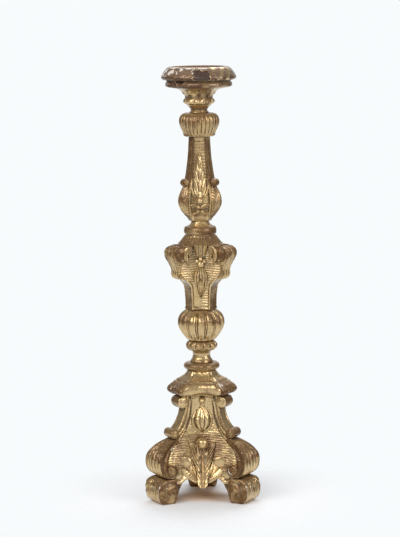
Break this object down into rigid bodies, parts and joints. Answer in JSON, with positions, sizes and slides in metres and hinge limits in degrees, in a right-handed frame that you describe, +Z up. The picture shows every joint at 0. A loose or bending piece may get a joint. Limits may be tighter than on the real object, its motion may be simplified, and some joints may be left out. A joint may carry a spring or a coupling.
{
  "type": "candlestick",
  "caption": "Carved giltwood altar candlestick: three-sided scroll base on scroll feet, knopped and three-sided stem, round drip pan with a lift-out candle cup.",
  "frame": {"origin": "on the stem's axis, on the plane that the three feet stand on", "axes": "+Z up along the stem; -Y is the direction that the front panel of the base faces"},
  "size_m": [0.1612, 0.1397, 0.6],
  "materials": {
    "old_gilding": "worn water gilding over red-brown clay and white gesso on carved wood",
    "worn_pan": "turned wood with most of its gilding worn off, chipped gesso at the edges",
    "bare_wood": "plain turned dowel",
    "cup_metal": "thin dulled sheet brass"
  },
  "bodies": {
    "stick": {"baluster": "old_gilding", "base_body": "old_gilding", "base_bud_front": "old_gilding", "base_bud_rear_left": "old_gilding", "base_bud_rear_right": "old_gilding", "base_cap": "old_gilding", "base_collar": "old_gilding", "base_leaf_front": "old_gilding", "base_leaf_rear_left": "old_gilding", "base_leaf_rear_right": "old_gilding", "cap_bracket_back": "old_gilding", "cap_bracket_left": "old_gilding", "cap_bracket_right": "old_gilding", "corner_console_back": "old_gilding", "corner_console_left": "old_gilding", "corner_console_right": "old_gilding", "crown_knop": "old_gilding", "drip_pan": "worn_pan", "foot_back": "old_gilding", "foot_dowels": "bare_wood", "foot_left": "old_gilding", "foot_right": "old_gilding", "gadroon_knop": "old_gilding", "leaf_scroll_back": "old_gilding", "leaf_scroll_left": "old_gilding", "leaf_scroll_right": "old_gilding", "leaf_spray_front": "old_gilding", "leaf_spray_rear_left": "old_gilding", "leaf_spray_rear_right": "old_gilding", "lower_neck": "old_gilding", "pan_cup": "old_gilding", "shoulder_collar": "old_gilding", "vase": "old_gilding", "vase_console_back": "old_gilding", "vase_console_left": "old_gilding", "vase_console_right": "old_gilding", "vase_husk_front": "old_gilding", "vase_husk_rear_left": "old_gilding", "vase_husk_rear_right": "old_gilding", "vase_lappet_front": "old_gilding", "vase_lappet_rear_left": "old_gilding", "vase_lappet_rear_right": "old_gilding"},
    "cup": {"candle_cup": "cup_metal"}
  },
  "joints": [
    {"name": "cup_lift", "type": "slide", "parent": "stick", "child": "cup", "axis": [0, 0, 1], "range_m": [0, 0.06]}
  ]
}
